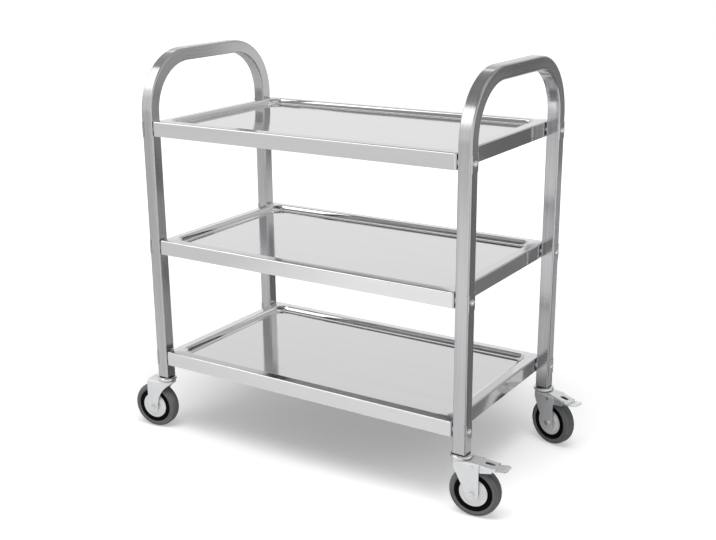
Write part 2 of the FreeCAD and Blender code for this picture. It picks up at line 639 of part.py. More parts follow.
def brake_pedal():
    """Pressed lever: a channel over the tyre, then a step down to the flat tip."""
    root, end = pedal_heights()
    skirt_low = WHEEL_DIAMETER - PEDAL_SKIRT_DROP
    side_steps = [
        (PEDAL_ROOT, root), (PEDAL_END, end), (PEDAL_END, end - PEDAL_PLATE),
        (PEDAL_SKIRT_STOP, WHEEL_DIAMETER - PEDAL_SKIRT_END_DROP), (PEDAL_SKIRT_START, skirt_low),
        (PEDAL_ROOT, WHEEL_DIAMETER)]
    channel = side_prism(side_steps, PEDAL_WIDTH)
    top_edges = []
    for edge in channel.Edges:
        if edge.BoundBox.YLength < PEDAL_PLATE and edge.BoundBox.ZMin > end - PEDAL_PLATE / 2:
            top_edges.append(edge)
    channel = channel.makeFillet(PEDAL_BEND_RADIUS, top_edges)
    fall = (root - end) / (PEDAL_END - PEDAL_ROOT)
    beyond = PEDAL_PLATE
    hollow = side_prism([
        (PEDAL_ROOT - beyond, root + fall * beyond - PEDAL_PLATE),
        (PEDAL_END + beyond, end - fall * beyond - PEDAL_PLATE),
        (PEDAL_END + beyond, 0), (PEDAL_ROOT - beyond, 0)], PEDAL_WIDTH - 2 * PEDAL_PLATE)
    step_foot = PEDAL_END + PEDAL_STEP_RUN
    foot_height = end - PEDAL_STEP_DROP
    tip_height = foot_height + PEDAL_TIP_RISE
    tip = side_prism([
        (PEDAL_END - beyond, end), (PEDAL_END, end), (step_foot, foot_height), (PEDAL_TIP, tip_height),
        (PEDAL_TIP, tip_height - PEDAL_PLATE), (step_foot - beyond, foot_height - PEDAL_PLATE),
        (PEDAL_END - beyond, end - PEDAL_PLATE)], PEDAL_TIP_WIDTH)
    corners = []
    for edge in tip.Edges:
        box = edge.BoundBox
        if box.XMin > PEDAL_TIP - beyond and box.YLength < beyond:
            corners.append(edge)
    tip = tip.makeFillet(PEDAL_TIP_RADIUS, corners)
    slot_radius = PEDAL_SLOT_WIDTH / 2
    slot_run = PEDAL_SLOT_LENGTH - PEDAL_SLOT_WIDTH
    slot_start = Vector(PEDAL_SLOT_PLACE - slot_run / 2, 0, WHEEL_DIAMETER)
    slot = [
        Part.makeCylinder(slot_radius, PEDAL_ROOT_RISE, slot_start),
        Part.makeBox(slot_run, PEDAL_SLOT_WIDTH, PEDAL_ROOT_RISE, slot_start - ACROSS * slot_radius),
        Part.makeCylinder(slot_radius, PEDAL_ROOT_RISE, slot_start + ALONG * slot_run)]
    pin_hole = across_cylinder(PIN_DIAMETER / 2 + RUNNING_CLEARANCE, PEDAL_WIDTH, PIN_PLACE, PIN_HEIGHT)
    return channel.cut(hollow).fuse(tip).cut(slot + [pin_hole])


def pedal_pin():
    """Riveted pin across the cheeks."""
    pin = across_cylinder(PIN_DIAMETER / 2, 2 * FORK_HALF + PIN_HEAD_HEIGHT, PIN_PLACE, PIN_HEIGHT)
    heads = []
    for side in (-1, 1):
        start = Vector(PIN_PLACE, side * FORK_HALF, PIN_HEIGHT)
        heads.append(Part.makeCylinder(PIN_HEAD_DIAMETER / 2, PIN_HEAD_HEIGHT, start, ACROSS * side))
    return pin.fuse(heads)


def brake_shoe():
    """Block under the pedal, hollowed to meet the tyre when the pedal is pressed."""
    root, end = pedal_heights()
    fall = (root - end) / (PEDAL_END - PEDAL_ROOT)
    ceiling = root - PEDAL_PLATE
    block = side_prism([
        (SHOE_START, ceiling - fall * (SHOE_START - PEDAL_ROOT)),
        (SHOE_STOP, ceiling - fall * (SHOE_STOP - PEDAL_ROOT)),
        (SHOE_STOP, AXLE_HEIGHT), (SHOE_START, AXLE_HEIGHT)], SHOE_WIDTH)
    tread = across_cylinder(WHEEL_DIAMETER / 2 + SHOE_GAP, TYRE_WIDTH, CASTER_TRAIL, AXLE_HEIGHT)
    tread.rotate(Vector(PIN_PLACE, 0, PIN_HEIGHT), ACROSS, -PEDAL_PRESS)
    return max(block.cut(tread).Solids, key=lambda piece: piece.CenterOfMass.z)


# The whole trolley

def caster_nodes(name, braked):
    """Every piece of one caster that swivels, rolls or brakes, by node name."""
    nodes = {
        "fork": fork(braked),
        "swivel_balls": swivel_balls(),
        "axle_bolt": axle_bolt(),
        "axle_nut": axle_nut(),
        "axle_sleeve": axle_sleeve(),
        "rim": rim(),
        "tyre": tyre(),
        "dust_caps": dust_caps(),
        "bushes": bushes(),
    }
    if braked:
        nodes["brake_pedal"] = brake_pedal()
        nodes["pedal_pin"] = pedal_pin()
        nodes["brake_shoe"] = brake_shoe()
    return {name + "_" + piece: shape for piece, shape in nodes.items()}


def stand_at(shape, end, side, swivel):
    """Turn a caster piece about its swivel axis and set it under its leg."""
    outwards = 0.0 if end > 0 else 180.0
    placed = shape.copy()
    placed.rotate(ORIGIN, UP, outwards + swivel)
    placed.translate(Vector(end * LEG_X, side * LEG_Y, 0))
    return placed


def trolley():
    nodes = {
        "left_end_frame": end_frame(-1),
        "right_end_frame": end_frame(1),
        "bottom_shelf": tray(BOTTOM_SHELF_TOP),
        "middle_shelf": tray(MIDDLE_SHELF_TOP),
        "top_shelf": tray(TOP_SHELF_TOP),
        "shelf_bolts": Part.makeCompound([shelf_bolt(*place) for place in bolt_places()]),
        "shelf_nuts": Part.makeCompound([shelf_nut(*place) for place in bolt_places()]),
        "shelf_spacers": Part.makeCompound([shelf_spacer(*place) for place in bolt_places()]),
        "bolt_saddles": Part.makeCompound([bolt_saddle(*place) for place in bolt_places()]),
    }
    under_legs = {"leg_plugs": leg_plug(), "caster_stems": caster_stem(), "swivel_heads": swivel_head()}
    for node, shape in under_legs.items():
        copies = [stand_at(shape, end, side, 0.0) for _, end, side, _, _ in CASTERS]
        nodes[node] = Part.makeCompound(copies)
    for name, end, side, swivel, braked in CASTERS:
        for node, shape in caster_nodes(name, braked).items():
            nodes[node] = stand_at(shape, end, side, swivel)
    return nodes


os.makedirs("parts", exist_ok=True)
for node, shape in trolley().items():
    shape.exportStep("parts/" + node + ".step")
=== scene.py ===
import json
import math
import bpy
from bpy.props import FloatProperty, FloatVectorProperty, IntProperty, PointerProperty
from mathutils import Matrix, Vector


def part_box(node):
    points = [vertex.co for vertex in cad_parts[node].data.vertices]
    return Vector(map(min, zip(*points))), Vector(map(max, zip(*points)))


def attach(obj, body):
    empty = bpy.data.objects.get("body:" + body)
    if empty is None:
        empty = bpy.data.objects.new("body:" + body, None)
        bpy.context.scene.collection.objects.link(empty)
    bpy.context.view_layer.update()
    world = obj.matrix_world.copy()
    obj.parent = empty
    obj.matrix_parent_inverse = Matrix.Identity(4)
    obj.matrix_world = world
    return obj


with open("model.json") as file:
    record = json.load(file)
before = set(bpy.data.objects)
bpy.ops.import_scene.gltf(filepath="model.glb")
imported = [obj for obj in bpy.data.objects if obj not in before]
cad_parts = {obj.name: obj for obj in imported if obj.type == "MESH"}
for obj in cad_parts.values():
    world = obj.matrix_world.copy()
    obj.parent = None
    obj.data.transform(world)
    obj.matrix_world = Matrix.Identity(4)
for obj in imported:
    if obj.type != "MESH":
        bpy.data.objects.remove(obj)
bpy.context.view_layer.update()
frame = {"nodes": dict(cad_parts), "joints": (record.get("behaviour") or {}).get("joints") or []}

bl_info = {
    "name": "Serving Trolley Finishes",
    "version": (1, 0, 0),
    "blender": (4, 5, 0),
    "location": "View3D > Sidebar > Trolley",
    "description": "Steel, plastic and rubber finishes, threads and studio for a serving trolley",
    "category": "Object",
}

NODES = frame["nodes"]
JOINTS = {joint["name"]: joint for joint in frame["joints"]}
CASTERS = ("front_left", "rear_left", "front_right", "rear_right")
BRAKED = ("front_right", "rear_right")
TRAYS = ("bottom_shelf", "middle_shelf", "top_shelf")
END_FRAMES = ("left_end_frame", "right_end_frame")

WHITE = (1, 1, 1, 1)
# Shades of the room that reflections see, from straight down at 0 through level at 0.5 to straight up at 1
ROOM_SHADES = ((0.0, 0.55), (0.5, 0.90), (0.630, 0.87), (0.700, 0.79), (0.730, 0.66), (0.765, 0.58),
               (0.834, 0.48), (0.910, 0.32), (0.955, 0.28), (0.975, 0.70))
# Camera: frame in millimetres, far limit in metres
SENSOR_WIDTH = 36.0
CLIP_END = 60.0


def axle_of(caster):
    """Direction of a caster's axle."""
    return Vector(JOINTS[caster + "_roll"]["axis"]).normalized()


def add_mesh(name, points, faces):
    """New object of points and faces, at the origin."""
    mesh = bpy.data.meshes.new(name)
    mesh.from_pydata(points, [], faces)
    mesh.update()
    obj = bpy.data.objects.new(name, mesh)
    bpy.context.scene.collection.objects.link(obj)
    return obj


# Shader graphs

class Graph:
    """Nodes of one material, world or Geometry Nodes tree, added and linked by short calls."""

    def __init__(self, tree):
        self.tree = tree
        tree.nodes.clear()

    def add(self, kind, inputs=None, **settings):
        """New node with its settings, and its inputs by name or number."""
        node = self.tree.nodes.new(kind)
        for name, value in settings.items():
            setattr(node, name, value)
        for key, value in (inputs or {}).items():
            self.feed(node.inputs[key], value)
        return node

    def feed(self, socket, value):
        """Link a socket to another one, or set its value."""
        if isinstance(value, bpy.types.NodeSocket):
            self.tree.links.new(value, socket)
        else:
            socket.default_value = value

    def math(self, operation, first, second=0.0):
        """Result of one sum on two values."""
        return self.add("ShaderNodeMath", {0: first, 1: second}, operation=operation).outputs[0]

    def squared(self, value):
        return self.math("MULTIPLY", value, value)

    def past(self, value, limit):
        """How far a value lies past a limit, or 0 before it."""
        return self.math("MAXIMUM", self.math("SUBTRACT", value, limit), 0.0)

    def mixture(self, first, second, share):
        """Two values added: the second by its share and the first by the rest."""
        rest = self.math("MULTIPLY", first, 1.0 - share)
        return self.math("ADD", rest, self.math("MULTIPLY", second, share))

    def spread(self, value, low, high, start=0.0, end=1.0, kind="LINEAR"):
        """A value that goes from start to end, stretched to go from low to high."""
        ranges = {"Value": value, "From Min": start, "From Max": end, "To Min": low, "To Max": high}
        return self.add("ShaderNodeMapRange", ranges, interpolation_type=kind).outputs[0]

    def measure(self, operation, first, second=(0, 0, 0)):
        """Number that comes from vectors, such as a length or a dot product."""
        node = self.add("ShaderNodeVectorMath", {0: first, 1: second}, operation=operation)
        return node.outputs["Value"]

    def parts(self, vector):
        """X, Y and Z of a vector."""
        return self.add("ShaderNodeSeparateXYZ", {0: vector}).outputs

    def joined(self, x, y, z):
        """Vector of three values."""
        return self.add("ShaderNodeCombineXYZ", {0: x, 1: y, 2: z}).outputs[0]

    def noise(self, vector, scale, detail=3.0, roughness=0.5):
        """Noise between 0 and 1 over the given coordinates."""
        node = self.add("ShaderNodeTexNoise", {"Vector": vector, "Scale": scale, "Detail": detail,
                                               "Roughness": roughness})
        return node.outputs["Fac"]

    def place(self, stretch=(1, 1, 1)):
        """Object coordinates, stretched."""
        coordinates = self.add("ShaderNodeTexCoord").outputs["Object"]
        return self.add("ShaderNodeMapping", {"Vector": coordinates, "Scale": stretch}).outputs[0]

    def about(self, centre, axis, stretch=0.02):
        """Coordinates that follow circles round an axle: distance from it, place along it, slowed height."""
        offset = self.add("ShaderNodeVectorMath", {0: self.place(), 1: centre}, operation="SUBTRACT")
        away = offset.outputs[0]
        along = self.measure("DOT_PRODUCT", away, axis)
        total = self.measure("LENGTH", away)
        square = self.math("SUBTRACT", self.squared(total), self.squared(along))
        radius = self.math("SQRT", self.math("MAXIMUM", square, 0.0))
        return self.joined(radius, along, self.math("MULTIPLY", self.parts(away)[2], stretch))

    def ramp(self, factor, stops):
        """Grey ramp over (position, shade) stops."""
        node = self.add("ShaderNodeValToRGB", {"Fac": factor})
        elements = node.color_ramp.elements
        while len(elements) < len(stops):
            elements.new(0.5)
        for element, (position, shade) in zip(elements, stops):
            element.position = position
            element.color = (shade, shade, shade, 1)
        return node.outputs[0]

    def mix(self, factor, first, second):
        """Mix of two colours, which are the node's inputs 6 and 7."""
        return self.add("ShaderNodeMix", {0: factor, 6: first, 7: second}, data_type="RGBA").outputs[2]

    def shades(self, factor, colour, dark, light):
        """Mix of one colour made darker and made lighter."""
        ends = [(*(channel * amount for channel in colour), 1) for amount in (dark, light)]
        return self.mix(factor, *ends)

    def bump(self, height, distance, strength=1.0, under=None):
        """Normal raised by a height, over the bumps under it."""
        node = self.add("ShaderNodeBump", {"Height": height, "Distance": distance, "Strength": strength})
        if under is not None:
            self.feed(node.inputs["Normal"], under)
        return node.outputs[0]

    def surface(self, **sockets):
        """Principled surface, with its sockets' names written with underscores."""
        shader = self.add("ShaderNodeBsdfPrincipled")
        for name, value in sockets.items():
            self.feed(shader.inputs[name.replace("_", " ")], value)
        self.add("ShaderNodeOutputMaterial", {"Surface": shader.outputs[0]})


def new_graph(name):
    """New material and the graph of its nodes."""
    material = bpy.data.materials.new(name)
    material.use_nodes = True
    return material, Graph(material.node_tree)


def finish_nodes(material, *names):
    """Give CAD nodes a material."""
    for name in names:
        mesh = NODES[name].data
        mesh.materials.clear()
        mesh.materials.append(material)


# Finishes

def satin_tube(settings):
    """Satin stainless tube, with polishing lines that follow the legs, bends and handle bars."""
    line_stretch = 0.012
    cloud_stretch = 0.25
    variation = 0.06
    material, g = new_graph("satin_tube")
    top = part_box(END_FRAMES[0])[1]
    bend_y = top.y - settings.bend_radius
    bend_z = top.z - settings.bend_radius
    x, y, z = g.parts(g.place())
    side = g.math("ABSOLUTE", y)
    over = g.past(side, bend_y)
    above = g.past(z, bend_z)
    radius = g.math("SQRT", g.math("ADD", g.squared(over), g.squared(above)))
    turn = g.math("MULTIPLY", g.math("ARCTAN2", above, over), settings.bend_radius)
    straight = g.math("SUBTRACT", g.math("MINIMUM", z, bend_z), g.math("MINIMUM", side, bend_y))
    along = g.math("ADD", straight, turn)
    lines = g.joined(x, radius, g.math("MULTIPLY", along, line_stretch))
    clouds = g.joined(x, radius, g.math("MULTIPLY", along, cloud_stretch))
    fine = g.noise(lines, scale=1500.0, detail=2.0)
    coarse = g.noise(lines, scale=260.0)
    patches = g.noise(clouds, scale=22.0, detail=2.0)
    mixed = g.mixture(fine, coarse, share=0.6)
    streaks = g.spread(mixed, low=-0.6, high=1.6)
    colour = g.shades(streaks, settings.tube_colour, dark=0.86, light=1.12)
    rough = g.spread(g.mixture(mixed, patches, share=0.4),
                     settings.tube_roughness - variation, settings.tube_roughness + variation)
    normal = g.bump(fine, distance=0.00002, strength=0.5)
    g.surface(Base_Color=colour, Metallic=1.0, Roughness=rough, Normal=normal)
    return material


def polished_tray(settings):
    """Bright rolled sheet with faint grain and the waves of pressed steel; a dull unpolished finish inside,
    darker partly as painted shade.
    """
    material, g = new_graph("polished_tray")
    grain = g.noise(g.place(stretch=(0.02, 1, 1)), scale=1400.0, detail=2.0)
    bands = g.noise(g.place(stretch=(0.05, 1, 1)), scale=60.0)
    smear = g.noise(g.place(), scale=14.0, detail=4.0, roughness=0.6)
    mixed = g.mixture(grain, bands, share=0.6)
    dull = unpolished_shaded_side(g)
    polish = g.shades(mixed, settings.tray_colour, dark=0.94, light=1.04)
    # Darker colour on the unpolished side: partly its dull finish, partly painted shade.
    mill_and_painted_shade = g.shades(smear, settings.tray_colour, dark=0.60, light=0.74)
    smoothest = settings.tray_roughness - 0.03
    roughest = settings.tray_roughness + 0.05
    rough = g.spread(g.mixture(mixed, smear, share=0.5), smoothest, roughest)
    rough = g.math("ADD", rough, g.math("MULTIPLY", dull, settings.mill_roughness))
    wave = g.noise(g.place(stretch=(0.7, 1, 1)), scale=5.5, detail=1.0)
    ripple = g.noise(g.place(stretch=(0.6, 1, 1)), scale=18.0, detail=0.0)
    waves = g.bump(ripple, settings.tray_ripple, under=g.bump(wave, settings.tray_waviness))
    fall = g.bump(rim_fall(g, settings), distance=1.0, under=waves)
    normal = g.bump(grain, distance=0.000003, strength=0.5, under=fall)
    # The dull side takes the darker colour, partly painted shade, and more roughness.
    g.surface(Base_Color=g.mix(dull, polish, mill_and_painted_shade), Metallic=1.0, Roughness=rough, Normal=normal)
    return material


def unpolished_shaded_side(g):
    """1 on the unpolished side of a tray, which is its underside and the inner faces of its aprons; there the
    tray's colour is darker, partly as painted shade.
    """
    wall_rise = 0.3
    under_rise = -0.5
    facing = g.add("ShaderNodeNewGeometry").outputs["True Normal"]
    rise = g.parts(facing)[2]
    outward = g.measure("DOT_PRODUCT", facing, g.place(stretch=(1, 1, 0)))
    inner = g.math("MULTIPLY", g.math("LESS_THAN", outward, 0.0), g.math("LESS_THAN", rise, wall_rise))
    return g.math("MAXIMUM", g.math("LESS_THAN", rise, under_rise), inner)


def rim_fall(g, settings):
    """Fall of a tray's rim towards its outer edge, as a height for the shading alone."""
    x, y = g.parts(g.place())[:2]
    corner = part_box(TRAYS[0])[1]
    rim_x = g.past(g.math("ABSOLUTE", x), corner.x - settings.rim_width)
    rim_y = g.past(g.math("ABSOLUTE", y), corner.y - settings.rim_width)
    return g.math("MULTIPLY", g.math("MAXIMUM", rim_x, rim_y), -settings.rim_slope)


def plated_steel(name, colour, roughness, variation=0.08, scale=120.0, metallic=1.0):
    """Zinc or chrome plate: small cloudy spangles and fine press marks."""
    material, g = new_graph(name)
    spangle = g.noise(g.place(), scale, detail=4.0, roughness=0.6)
    marks = g.noise(g.place(stretch=(1, 1, 0.15)), scale=900.0, detail=2.0)
    shade = g.shades(spangle, colour, dark=0.9, light=1.06)
    rough = g.spread(g.mixture(spangle, marks, share=0.4), roughness - variation, roughness + variation)
    clouds = g.bump(spangle, distance=0.00008, strength=0.4)
    normal = g.bump(marks, distance=0.00002, strength=0.4, under=clouds)
    g.surface(Base_Color=shade, Metallic=metallic, Roughness=rough, Normal=normal)
    return material


def spun_cap(name, colour, centre, axis):
    """Dull plated pressing with spinning lines round its axle."""
    material, g = new_graph(name)
    rings = g.noise(g.about(centre, axis), scale=1600.0)
    spangle = g.noise(g.place(), scale=150.0, detail=4.0, roughness=0.6)
    mixed = g.mixture(rings, spangle, share=0.4)
    shade = g.shades(mixed, colour, dark=0.82, light=1.08)
    rough = g.spread(mixed, low=0.36, high=0.56)
    clouds = g.bump(spangle, distance=0.00006, strength=0.4)
    normal = g.bump(rings, distance=0.00004, strength=0.5, under=clouds)
    g.surface(Base_Color=shade, Metallic=0.6, Roughness=rough, Normal=normal)
    return material


def moulded_plastic(name, colour, roughness, specular=0.35):
    """Moulded plastic with a fine matt grain."""
    variation = 0.08
    material, g = new_graph(name)
    grain = g.noise(g.place(), scale=1800.0)
    cloud = g.noise(g.place(), scale=60.0)
    shade = g.shades(cloud, colour, dark=0.8, light=1.2)
    rough = g.spread(cloud, roughness - variation, roughness + variation)
    normal = g.bump(grain, distance=0.00004, strength=0.5)
    g.surface(Base_Color=shade, Roughness=rough, Specular_IOR_Level=specular, Normal=normal)
    return material


def shoe_rubber(colour, roughness):
    """Moulded rubber of the brake shoes: a powdery bloom over a fine grain."""
    material, g = new_graph("shoe_rubber")
    grain = g.noise(g.place(), scale=1400.0)
    bloom = g.noise(g.place(), scale=45.0, detail=5.0, roughness=0.65)
    shade = g.shades(bloom, colour, dark=0.8, light=1.25)
    smoothest = roughness - 0.1
    roughest = roughness + 0.08
    rough = g.spread(bloom, smoothest, roughest)
    powder = g.bump(bloom, distance=0.0001, strength=0.3)
    normal = g.bump(grain, distance=0.00006, strength=0.5, under=powder)
    g.surface(Base_Color=shade, Roughness=rough, Specular_IOR_Level=0.3, Normal=normal)
    return material


def tyre_rubber(name, colour, centre, axis):
    """Non-marking grey rubber with light and dark lines round the axle: grinding lines and scuffs, partly
    painted sheen.
    """
    material, g = new_graph(name)
    circles = g.about(centre, axis)
    fine = g.noise(circles, scale=1100.0, roughness=0.6)
    broad = g.noise(circles, scale=230.0, detail=2.0)
    bloom = g.noise(g.place(), scale=45.0, detail=5.0, roughness=0.65)
    mixed = g.mixture(g.mixture(fine, broad, share=0.55), bloom, share=0.25)
    # Light and dark lines round the axle: partly grinding lines and scuffs, partly painted sheen streaks.
    sheen_and_wear = g.spread(mixed, low=-0.9, high=1.9)
    shade = g.shades(sheen_and_wear, colour, dark=0.62, light=1.38)
    rough = g.spread(mixed, low=0.62, high=0.82)
    scuffs = g.bump(broad, distance=0.0002, strength=0.3)
    normal = g.bump(fine, distance=0.0001, strength=0.5, under=scuffs)
    g.surface(Base_Color=shade, Roughness=rough, Specular_IOR_Level=0.3, Normal=normal)
    return material


# Settings

class TROLLEY_PG_steel(bpy.types.PropertyGroup):
    """Finishes of the end frames and trays"""
    tube_colour: FloatVectorProperty(
        name="Tube colour", description="Stainless steel of the end frames", subtype="COLOR",
        default=(0.56, 0.56, 0.57))
    tube_roughness: FloatProperty(
        name="Tube roughness", description="Middle roughness of the satin tube", subtype="FACTOR",
        default=0.16)
    bend_radius: FloatProperty(
        name="Bend radius", description="Outer radius of the handle bends", unit="LENGTH",
        default=0.125)
    tray_colour: FloatVectorProperty(
        name="Tray colour", description="Stainless sheet of the trays", subtype="COLOR",
        default=(0.78, 0.78, 0.79))
    tray_roughness: FloatProperty(
        name="Tray roughness", description="Middle roughness of the polished sheet", subtype="FACTOR",
        default=0.07)
    rim_width: FloatProperty(
        name="Rim width", description="Width of the trays' rims", unit="LENGTH", default=0.020)
    rim_slope: FloatProperty(
        name="Rim slope", description="Extra outward fall in the shading of the rims, as a slope",
        default=0.045)
    tray_waviness: FloatProperty(
        name="Tray waviness", description="Height of the slow waves in the sheet", unit="LENGTH",
        default=0.0002)
    tray_ripple: FloatProperty(
        name="Tray ripple", description="Height of the short waves in the sheet", unit="LENGTH",
        default=0.00012)
    mill_roughness: FloatProperty(
        name="Mill roughness", description="Roughness added on the unpolished side of the trays",
        subtype="FACTOR", default=0.26)
    plug_colour: FloatVectorProperty(
        name="Plug colour", description="Black plastic of the leg plugs", subtype="COLOR",
        default=(0.02, 0.02, 0.02))


class TROLLEY_PG_caster(bpy.types.PropertyGroup):
    """Finishes of the casters"""
    zinc_colour: FloatVectorProperty(
        name="Zinc colour", description="Plating of forks and pedals", subtype="COLOR",
        default=(0.84, 0.85, 0.86))
    chrome_colour: FloatVectorProperty(
        name="Chrome colour", description="Plating of bolts and swivel heads", subtype="COLOR",
        default=(0.80, 0.80, 0.81))
    cap_colour: FloatVectorProperty(
        name="Cap colour", description="Dull plating of the dust caps", subtype="COLOR",
        default=(0.86, 0.86, 0.87))
    tyre_colour: FloatVectorProperty(
        name="Tyre colour", description="Grey rubber of the tyres", subtype="COLOR",
        default=(0.150, 0.150, 0.154))
    rim_colour: FloatVectorProperty(
        name="Rim colour", description="Black plastic of the wheel centres", subtype="COLOR",
        default=(0.003, 0.003, 0.003))
    nylon_colour: FloatVectorProperty(
        name="Nylon colour", description="Natural plastic of the bushes", subtype="COLOR",
        default=(0.70, 0.69, 0.64))
    shoe_colour: FloatVectorProperty(
        name="Shoe colour", description="Black rubber of the brake shoes", subtype="COLOR",
        default=(0.03, 0.03, 0.03))


class TROLLEY_PG_thread(bpy.types.PropertyGroup):
    """Threads on the visible ends of bolts"""
    radius: FloatProperty(
        name="Radius", description="Radius of the bolts", unit="LENGTH", default=0.003)
    pitch: FloatProperty(
        name="Pitch", description="Distance between thread ridges", unit="LENGTH", default=0.001)
    depth: FloatProperty(
        name="Depth", description="Height of a ridge over the core", unit="LENGTH", default=0.0003)
    sides: IntProperty(
        name="Sides", description="Straight pieces in one turn of a ridge", default=20)


class TROLLEY_PG_studio(bpy.types.PropertyGroup):
    """Floor, light and camera"""
    floor_size: FloatProperty(
        name="Floor size", description="Length of the floor's sides", unit="LENGTH", default=18.0)
    floor_colour: FloatVectorProperty(
        name="Floor colour", description="Pale floor", subtype="COLOR", default=(0.70, 0.70, 0.70))
    # Painted shade on the floor: the glow is lowest round the shade centre under the trolley and reaches the
    # outer glow between glow start and glow end.
    floor_glow: FloatProperty(
        name="Floor glow", description="White added to the floor under the trolley, as the camera sees it",
        default=0.24)
    outer_glow: FloatProperty(
        name="Outer glow", description="White added to the floor round the trolley", default=0.47)
    painted_shade_centre: FloatVectorProperty(
        name="Shade centre", description="Place on the floor round which it brightens", subtype="TRANSLATION",
        default=(-0.09, 0.10, 0.0))
    glow_start: FloatProperty(
        name="Glow start", description="Distance at which the floor starts to brighten", unit="LENGTH",
        default=0.18)
    glow_end: FloatProperty(
        name="Glow end", description="Distance at which the floor has its outer glow", unit="LENGTH",
        default=0.60)
    mirrored_glow: FloatProperty(
        name="Mirrored glow", description="White added to the far floor as metal mirrors it", default=0.58)
    mirrored_span: FloatVectorProperty(
        name="Mirrored span", description="Distances between which the mirrored floor brightens", size=2,
        unit="LENGTH", default=(1.0, 3.6))
    side_glow: FloatVectorProperty(
        name="Side glow", description="White that the mirrored floor gains left and right of the side span",
        size=2, default=(-0.12, 0.15))
    side_span: FloatVectorProperty(
        name="Side span", description="Places across, between which the side glow changes", size=2,
        unit="LENGTH", default=(-1.1, -0.6))
    side_reach: FloatVectorProperty(
        name="Side reach", description="Distances between which the side glow comes in", size=2,
        unit="LENGTH", default=(0.8, 1.2))
    white_start: FloatProperty(
        name="White start", description="Distance at which the floor starts to fade to white", unit="LENGTH",
        default=0.9)
    white_end: FloatProperty(
        name="White end", description="Distance past which the floor is white", unit="LENGTH", default=2.4)
    overhead_power: FloatProperty(
        name="Overhead power", description="Soft light above", unit="POWER", default=58.0)
    front_power: FloatProperty(
        name="Front power", description="Soft light from the front left", unit="POWER", default=14.0)
    room_fill: FloatProperty(
        name="Room fill", description="Share of the room's light that falls on dull surfaces",
        subtype="FACTOR", default=0.5)
    lens: FloatProperty(
        name="Lens", description="Focal length in millimetres on a 36 mm frame", default=56.44)
    camera_place: FloatVectorProperty(
        name="Camera place", description="Position of the camera", subtype="TRANSLATION",
        default=(1.2253, -1.9009, 1.0526))
    camera_turn: FloatVectorProperty(
        name="Camera turn", description="Yaw, downward pitch and roll", subtype="EULER",
        default=(0.5887, 0.3053, -0.0148))
    camera_shift: FloatVectorProperty(
        name="Camera shift", description="Sideways and upward shift of the frame", size=2,
        default=(0.0335, 0.0201))


# Threads

def solids_along(node, axis):
    """Foot, low end and high end of each bolt or nut of a node, measured along the axis.

    Each solid is shorter than the reach, and the solids of one node lie further apart.
    """
    reach = 0.1
    groups = []
    for vertex in NODES[node].data.vertices:
        height = vertex.co.dot(axis)
        foot = vertex.co - axis * height
        for feet, heights in groups:
            if (feet[0] - foot).length < reach and abs(heights[0] - height) < reach:
                feet.append(foot)
                heights.append(height)
                break
        else:
            groups.append(([foot], [height]))
    solids = []
    for feet, heights in groups:
        low = Vector(min(foot[i] for foot in feet) for i in range(3))
        high = Vector(max(foot[i] for foot in feet) for i in range(3))
        solids.append(((low + high) / 2, min(heights), max(heights)))
    return solids


def bolt_tails(bolts, nuts, axis):
    """Start and end of every bolt end that stands out of a nut."""
    def middle(solid):
        foot, low, high = solid
        return foot + axis * (low + high) / 2

    shanks = solids_along(bolts, axis)
    tails = []
    for nut in solids_along(nuts, axis):
        foot, low, high = nut
        shank = min(shanks, key=lambda bolt: (middle(bolt) - middle(nut)).length)
        shank_low, shank_high = shank[1:]
        beyond = low + high > shank_low + shank_high
        start, end = (high, shank_high) if beyond else (low, shank_low)
        tails.append((foot + axis * start, foot + axis * end))
    return tails


def thread_tree():
    """Node tree that winds one ridged helix on each point, along the point's own direction."""
    ridge_sides = 4
    tree = bpy.data.node_groups.new("bolt_thread", "GeometryNodeTree")
    sockets = {"Tails": "Geometry", "Radius": "Float", "Pitch": "Float", "Depth": "Float", "Length": "Float",
               "Sides": "Int", "Plate": "Material"}
    for name, kind in sockets.items():
        tree.interface.new_socket(name, in_out="INPUT", socket_type="NodeSocket" + kind)
    tree.interface.new_socket("Threads", in_out="OUTPUT", socket_type="NodeSocketGeometry")
    g = Graph(tree)
    given = g.add("NodeGroupInput").outputs
    turns = g.math("DIVIDE", given["Length"], given["Pitch"])
    helix = g.add("GeometryNodeCurveSpiral", {"Resolution": given["Sides"], "Rotations": turns,
                                              "Start Radius": given["Radius"], "End Radius": given["Radius"],
                                              "Height": given["Length"]})
    upright = g.add("GeometryNodeSetCurveNormal", {"Curve": helix.outputs[0]}, mode="Z_UP")
    ridge = g.add("GeometryNodeCurvePrimitiveCircle", {"Resolution": ridge_sides, "Radius": given["Depth"]})
    thread = g.add("GeometryNodeCurveToMesh", {"Curve": upright.outputs[0], "Profile Curve": ridge.outputs[0],
                                               "Fill Caps": True})
    heading = g.add("GeometryNodeInputNamedAttribute", {"Name": "heading"}, data_type="FLOAT_VECTOR")
    turn = g.add("FunctionNodeAlignRotationToVector", {"Vector": heading.outputs["Attribute"]}, axis="Z")
    copies = g.add("GeometryNodeInstanceOnPoints", {"Points": given["Tails"], "Instance": thread.outputs[0],
                                                    "Rotation": turn.outputs[0]})
    real = g.add("GeometryNodeRealizeInstances", {"Geometry": copies.outputs[0]})
    plated = g.add("GeometryNodeSetMaterial", {"Geometry": real.outputs[0], "Material": given["Plate"]})
    g.add("NodeGroupOutput", {0: plated.outputs[0]})
    return tree


